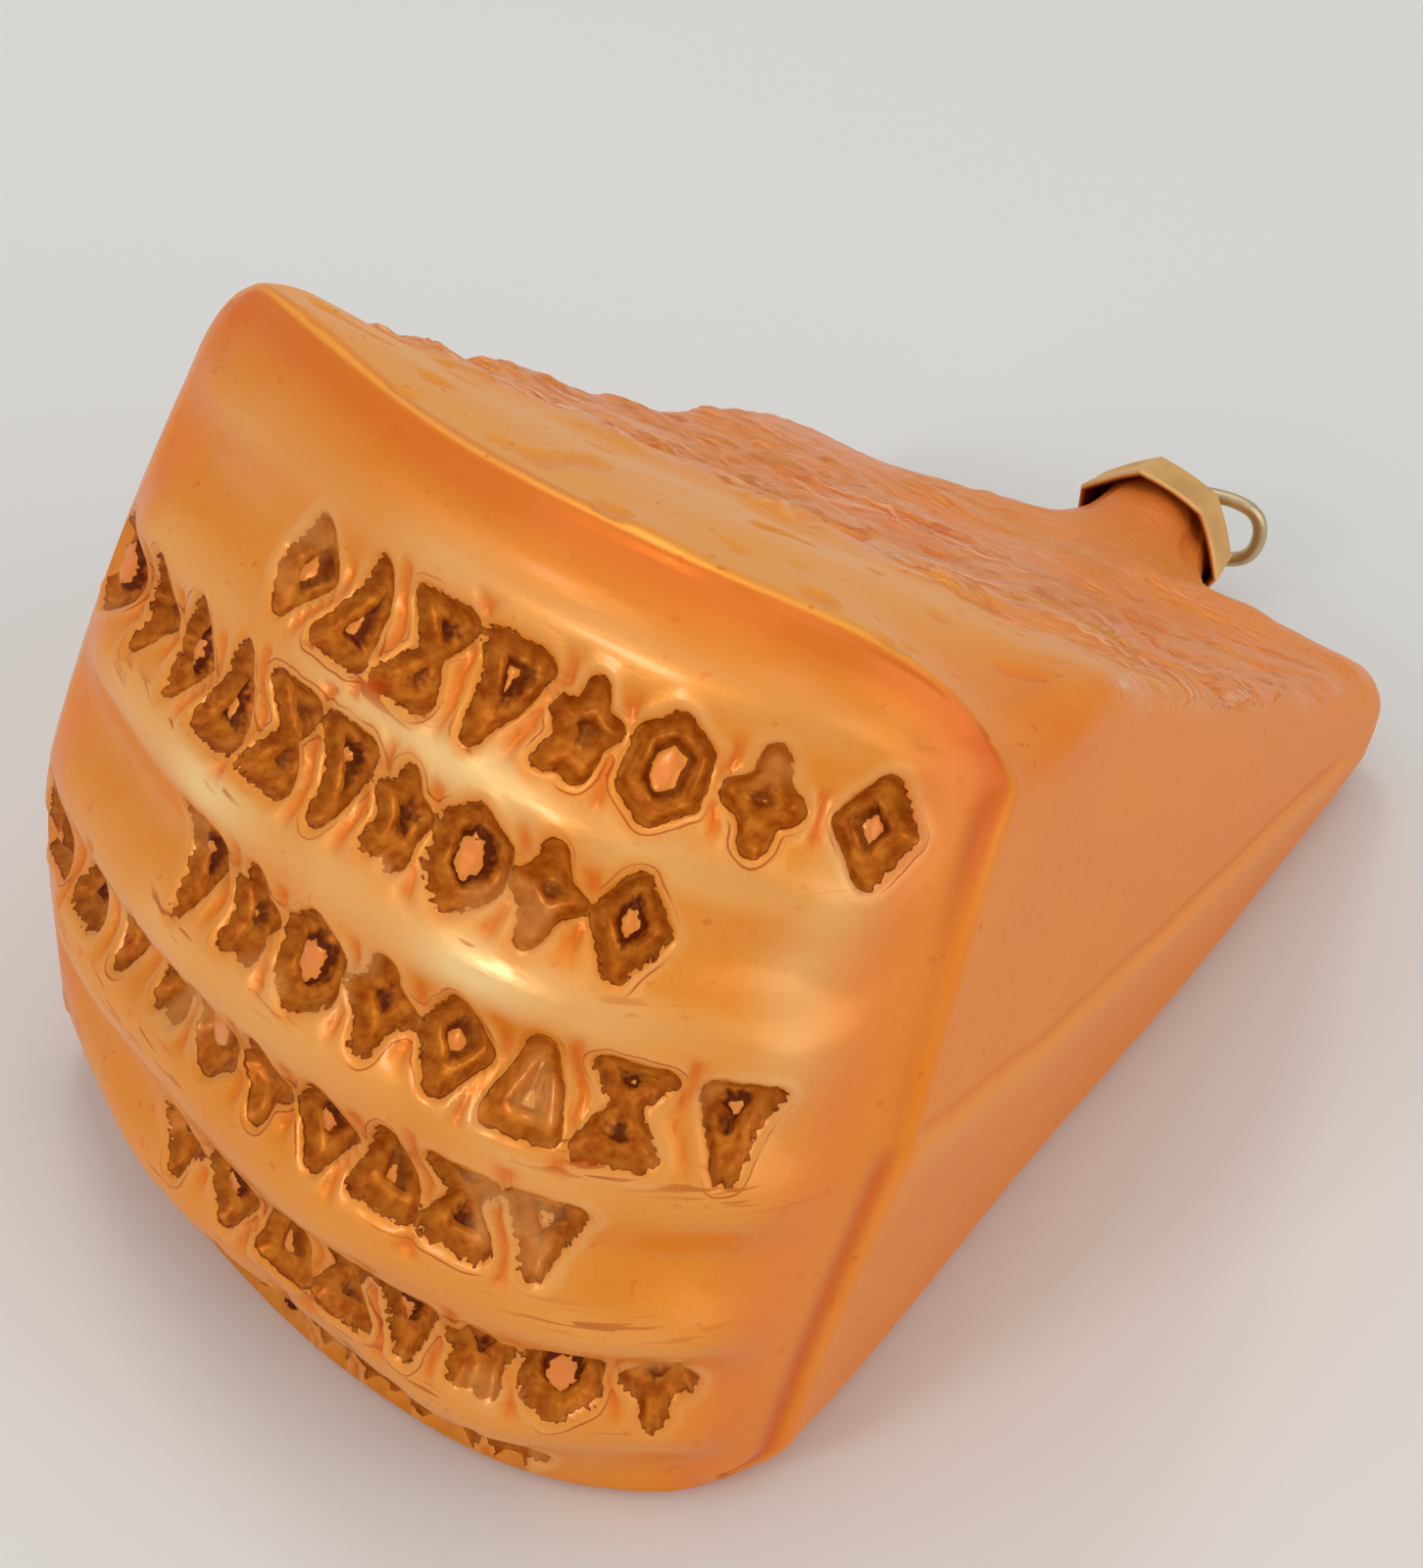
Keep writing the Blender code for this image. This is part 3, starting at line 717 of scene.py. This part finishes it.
lacquer = {
    "rind": (0.86, 0.262, 0.010), "side": (0.90, 0.245, 0.010), "top": (1.0, 0.38, 0.045),
    "deep": (0.80, 0.16, 0.012), "crease": (0.70, 0.12, 0.010), "creamAndHighlight": (1.0, 0.64, 0.26),
    "pink": (1.0, 0.31, 0.11), "blush": (0.86, 0.22, 0.05), "smear": (0.88, 0.43, 0.14), "patch": (0.92, 0.17, 0.008),
    "proudHighlight": (0.97, 0.37, 0.07), "island": (0.90, 0.25, 0.06), "groove": (0.84, 0.17, 0.015),
    "paleGlint": (1.0, 0.72, 0.54), "recessShade": (0.80, 0.14, 0.03),
    "paint": (0.42, 0.080, 0.001), "paintShade": (0.085, 0.006, 0.0003), "paintLight": (0.68, 0.21, 0.015),
    "contour": (0.50, 0.07, 0.002),
    "metallic": 0.3, "roughness": 0.40, "specular": 0.10, "coat": 0.12, "brightCoat": 0.28, "coatRoughness": 0.14,
}


def lineAt(tree, value, middle, width):
    away = mathed(tree, "ABSOLUTE", mathed(tree, "SUBTRACT", value, middle), 0.0)
    return ranged(tree, away, width, 0.3 * width)


def layered(tree, colour, mask, share, over):
    return mixed(tree, mathed(tree, "MULTIPLY", mask, share), colour, over)


def lacquerMaterial(mottle):
    material, tree, shader = newMaterial("orange_lacquer")
    place = addNode(tree, "ShaderNodeTexCoord").outputs["Object"]
    pearl = useGroup(tree, mottle, {"Vector": place, "Cloud Size": 110.0, "Speck Size": 1400.0}).outputs
    stretched = addNode(tree, "ShaderNodeVectorMath", {0: place, 1: (0.35, 1.0, 1.0)}, operation="MULTIPLY").outputs[0]
    flaky = useGroup(tree, mottle, {"Vector": stretched, "Cloud Size": 260.0, "Speck Size": 2300.0}).outputs
    thin = addNode(tree, "ShaderNodeVectorMath", {0: place, 1: (0.08, 0.08, 1.0)}, operation="MULTIPLY").outputs[0]
    hairy = addNode(tree, "ShaderNodeTexNoise", {"Vector": thin, "Scale": 3600.0, "Detail": 1.0}).outputs["Fac"]
    tear = addNode(tree, "ShaderNodeTexNoise", {"Vector": place, "Scale": 2600.0, "Detail": 0.6}).outputs["Fac"]
    tearing = ranged(tree, pearl["Cloud"], 0.2, 0.8, 0.15, 0.65)
    ragged = mathed(tree, "MULTIPLY", mathed(tree, "SUBTRACT", tear, 0.5), tearing)
    grainy = addNode(tree, "ShaderNodeTexNoise", {"Vector": place, "Scale": 5200.0, "Detail": 1.0}).outputs["Fac"]
    grainy = ranged(tree, grainy, 0.35, 0.7)
    broken = attribute(tree, "broken")

    # painted glints: the lip of each flaky step is pale; painted shade: the foot of its riser is deep
    flakePart = mathed(tree, "FRACT", attribute(tree, "flake"), 0.0)
    chipPart = mathed(tree, "FRACT", attribute(tree, "chip"), 0.0)
    crumbly = mathed(tree, "MULTIPLY", broken, attribute(tree, "ragged"))
    glintLips = mathed(tree, "MAXIMUM", lineAt(tree, flakePart, 0.22, 0.09),
                  mathed(tree, "MULTIPLY", lineAt(tree, chipPart, 0.22, 0.12), 0.4))
    glintLips = mathed(tree, "MULTIPLY", glintLips, ranged(tree, flaky["Cloud"], 0.25, 0.75))
    glintLips = mathed(tree, "MULTIPLY", glintLips, crumbly)
    footShade = mathed(tree, "MAXIMUM", lineAt(tree, flakePart, 0.06, 0.07),
                  mathed(tree, "MULTIPLY", lineAt(tree, chipPart, 0.07, 0.08), 0.6))
    footShade = mathed(tree, "MULTIPLY", footShade, ranged(tree, pearl["Cloud"], 0.15, 0.7))
    footShade = mathed(tree, "MULTIPLY", footShade, crumbly)
    glintLips = mathed(tree, "MAXIMUM", glintLips, mathed(tree, "MULTIPLY", attribute(tree, "edgeGlint"), flaky["Speck"]))

    colour = mixed(tree, attribute(tree, "rind"), lacquer["side"], lacquer["rind"])
    colour = mixed(tree, attribute(tree, "upper"), colour, lacquer["top"])
    colour = layered(tree, colour, attribute(tree, "patch"), 1.0, lacquer["patch"])
    colour = layered(tree, colour, mathed(tree, "MULTIPLY", broken, flaky["Cloud"]), 0.8, lacquer["pink"])
    # painted shade in pits and at the feet of risers, painted glints on the lips
    colour = layered(tree, colour, mathed(tree, "MULTIPLY", broken, attribute(tree, "pit")), 0.65, lacquer["recessShade"])
    colour = layered(tree, colour, footShade, 0.75, lacquer["recessShade"])
    colour = layered(tree, colour, glintLips, 0.65, lacquer["paleGlint"])
    colour = layered(tree, colour, pearl["Cloud"], 0.10, lacquer["creamAndHighlight"])
    colour = layered(tree, colour, grainy, 0.05, lacquer["creamAndHighlight"])
    specks = addNode(tree, "ShaderNodeTexNoise", {"Vector": place, "Scale": 1500.0, "Detail": 0.0}).outputs["Fac"]
    colour = layered(tree, colour, ranged(tree, specks, 0.76, 0.82), 0.6, lacquer["deep"])
    # painted highlight on the proud half below the seam
    colour = layered(tree, colour, attribute(tree, "proudHighlight"), 0.6, lacquer["proudHighlight"])
    colour = layered(tree, colour, attribute(tree, "blush"), 0.6, lacquer["blush"])
    # painted highlight: cream on the swell crests and along the right streak
    colour = layered(tree, colour, attribute(tree, "creamAndHighlight"), 0.85, lacquer["creamAndHighlight"])
    colour = layered(tree, colour, attribute(tree, "island"), 0.8, lacquer["island"])
    # painted highlight on the raised ridge round each mark; painted shade in the groove between two marks
    colour = layered(tree, colour, attribute(tree, "ridge"), 0.25, lacquer["creamAndHighlight"])
    colour = layered(tree, colour, attribute(tree, "groove"), 0.8, lacquer["groove"])
    # painted shade: under the top edge, along the seam and under the cap; then painted shade along the crease
    colour = layered(tree, colour, attribute(tree, "deepLineAndShade"), 0.75, lacquer["deep"])
    colour = layered(tree, colour, attribute(tree, "creaseShade"), 0.85, lacquer["crease"])

    stroke = attribute(tree, "stroke")
    torn = mathed(tree, "ADD", stroke, ragged)
    worn = addNode(tree, "ShaderNodeTexNoise", {"Vector": place, "Scale": 150.0, "Detail": 2.0}).outputs["Fac"]
    wearing = ranged(tree, worn, 0.43, 0.35)
    smear = mathed(tree, "MULTIPLY", wearing, ranged(tree, stroke, -0.9, -0.2))
    colour = layered(tree, colour, smear, 0.5, lacquer["smear"])
    inPaint = mathed(tree, "MULTIPLY", ranged(tree, torn, 0.0, 0.04), ranged(tree, wearing, 0.0, 1.0, 1.0, 0.5))
    # painted shade along the walls of each stroke, and a thin dark line at its outer border
    wallShade = mathed(tree, "MULTIPLY", ranged(tree, torn, 0.55, 0.24), ranged(tree, pearl["Cloud"], 0.05, 0.5, 0.3, 1.0))
    wallShade = mathed(tree, "MULTIPLY", wallShade, ranged(tree, attribute(tree, "inner"), 0.0, 1.0, 0.3, 1.0))
    wallShade = mathed(tree, "MAXIMUM", wallShade, ranged(tree, torn, 0.13, 0.05, 0.0, 0.8))
    paintTone = mixed(tree, pearl["Speck"], lacquer["paint"], lacquer["paintLight"])
    paintTone = layered(tree, paintTone, wallShade, 0.9, lacquer["paintShade"])
    colour = mixed(tree, inPaint, colour, paintTone)
    hairs = mathed(tree, "MULTIPLY", attribute(tree, "dash"), ranged(tree, hairy, 0.60, 0.64))
    contour = lineAt(tree, mathed(tree, "ADD", stroke, mathed(tree, "MULTIPLY", pearl["Cloud"], 0.25)), -0.26, 0.08)
    contour = mathed(tree, "MULTIPLY", contour, ranged(tree, worn, 0.52, 0.60))
    contour = mathed(tree, "MULTIPLY", contour, ranged(tree, attribute(tree, "inner"), 0.0, 0.2, 1.0, 0.0))
    colour = layered(tree, colour, mathed(tree, "MAXIMUM", hairs, contour), 0.8, lacquer["contour"])
    tree.links.new(colour, shader.inputs["Base Color"])

    roughness = ranged(tree, pearl["Cloud"], 0.0, 1.0, lacquer["roughness"] - 0.05, lacquer["roughness"] + 0.06)
    tree.links.new(roughness, shader.inputs["Roughness"])
    onRind = mathed(tree, "SUBTRACT", attribute(tree, "rind"), attribute(tree, "upper"))
    glossy = mathed(tree, "MAXIMUM", mathed(tree, "MULTIPLY", broken, 0.7),
                    ranged(tree, onRind, 0.0, 1.0, lacquer["coat"], 1.0))
    glossy = mathed(tree, "MULTIPLY", glossy, ranged(tree, inPaint, 0.0, 1.0, 1.0, 0.0))
    glossy = mathed(tree, "MULTIPLY", glossy, ranged(tree, attribute(tree, "groove"), 0.0, 0.6, 1.0, 0.1))
    tree.links.new(mathed(tree, "MULTIPLY", glossy, lacquer["brightCoat"]), shader.inputs["Coat Weight"])
    shader.inputs["Metallic"].default_value = lacquer["metallic"]
    shader.inputs["Specular IOR Level"].default_value = lacquer["specular"]
    shader.inputs["Coat Roughness"].default_value = lacquer["coatRoughness"]
    grain = mathed(tree, "MULTIPLY", flaky["Speck"], ranged(tree, broken, 0.0, 1.0, 0.07, 0.8))
    grain = mathed(tree, "ADD", grain, glintLips)
    ripple = addNode(tree, "ShaderNodeBump", {"Height": grain, "Strength": 0.6, "Distance": 0.00025})
    tree.links.new(ripple.outputs["Normal"], shader.inputs["Normal"])
    return material


def metalMaterial(name, bright, dull, roughness, mottle):
    material, tree, shader = newMaterial(name)
    place = addNode(tree, "ShaderNodeTexCoord").outputs["Object"]
    tarnish = useGroup(tree, mottle, {"Vector": place, "Cloud Size": 260.0, "Speck Size": 2200.0}).outputs
    colour = mixed(tree, mathed(tree, "MULTIPLY", tarnish["Cloud"], 0.7), bright, dull)
    colour = layered(tree, colour, attribute(tree, "shade"), 0.9, (0.24, 0.07, 0.02))
    tree.links.new(colour, shader.inputs["Base Color"])
    tree.links.new(ranged(tree, tarnish["Speck"], 0.0, 1.0, roughness, roughness + 0.15), shader.inputs["Roughness"])
    shader.inputs["Metallic"].default_value = 1.0
    return material


# ---- Camera, floor and light

view = {"azimuth": 27.17, "elevation": 39.26, "roll": 8.42, "distance": 219 * mm,
        "aim": Vector((0, -10.6 * mm, 17.3 * mm)), "lens": 94.2}
studio = {"floorColour": (0.785, 0.785, 0.768), "worldColour": (1.0, 0.985, 0.97), "worldStrength": 0.475}


def makeCamera():
    azimuth, elevation, roll = [math.radians(view[key]) for key in ("azimuth", "elevation", "roll")]
    back = Vector((math.sin(azimuth) * math.cos(elevation), -math.cos(azimuth) * math.cos(elevation),
                   math.sin(elevation)))
    level = Vector((math.cos(azimuth), math.sin(azimuth), 0))
    upright = back.cross(level)
    right = level * math.cos(roll) + upright * math.sin(roll)
    up = upright * math.cos(roll) - level * math.sin(roll)
    data = bpy.data.cameras.new("camera")
    data.lens, data.sensor_width, data.sensor_fit = view["lens"], 36, "HORIZONTAL"
    data.clip_start = 0.01
    camera = bpy.data.objects.new("camera", data)
    bpy.context.scene.collection.objects.link(camera)
    place = view["aim"] + back * view["distance"]
    camera.matrix_world = Matrix.Translation(place) @ Matrix((right, up, back)).transposed().to_4x4()
    bpy.context.scene.camera = camera


def makeFloor():
    material, tree, shader = newMaterial("floor_paper")
    shader.inputs["Base Color"].default_value = (*studio["floorColour"], 1)
    shader.inputs["Roughness"].default_value = 0.8
    shader.inputs["Specular IOR Level"].default_value = 0.2
    bm = bmesh.new()
    bmesh.ops.create_grid(bm, x_segments=1, y_segments=1, size=3.0)
    bmesh.ops.translate(bm, verts=bm.verts, vec=(0, 0, -0.02 * mm))
    addObject("floor", bm, material)


def makeArea(name, azimuth, elevation, distance, size, power, colour=(1, 1, 1)):
    data = bpy.data.lights.new(name, "AREA")
    data.size, data.energy, data.color = size, power, colour
    lamp = bpy.data.objects.new(name, data)
    a, e = math.radians(azimuth), math.radians(elevation)
    back = Vector((math.sin(a) * math.cos(e), -math.cos(a) * math.cos(e), math.sin(e)))
    lamp.location = back * distance
    lamp.rotation_euler = back.to_track_quat("Z", "Y").to_euler()
    bpy.context.scene.collection.objects.link(lamp)


def makeLight():
    world = bpy.data.worlds.new("studio")
    bpy.context.scene.world = world
    world.use_nodes = True
    sky = world.node_tree.nodes["Background"]
    sky.inputs["Color"].default_value = (*studio["worldColour"], 1)
    sky.inputs["Strength"].default_value = studio["worldStrength"]
    makeArea("key", -25, 52, 1.2, 0.8, 1.2, (0.97, 1, 1))
    makeArea("window", -12, 28, 1.0, 0.2, 1.75)
    makeArea("fill", 85, 25, 1.4, 1.2, 4.8)
    makeArea("overhead", 165, 80, 1.6, 1.2, 2.8)
    makeArea("lamp", -120, 65, 1.4, 0.3, 1.8)
    bpy.context.scene.view_settings.view_transform = "Standard"


makeCamera()
makeFloor()
makeLight()
print("stage set")
mottle = pearlGroup()
glass = makeGlass(lacquerMaterial(mottle))
dress(glass, "lacquered_glass", "glass_wedge")
cap = makeCap(metalMaterial("cap_gold", (0.95, 0.60, 0.24), (0.74, 0.42, 0.14), 0.5, mottle))
dress(cap, "gold_cap", "cap")
hanger = makeHanger(metalMaterial("wire_brass", (0.72, 0.60, 0.38), (0.52, 0.38, 0.19), 0.3, mottle))
dress(hanger, "brass_wire", "hanger_loop")
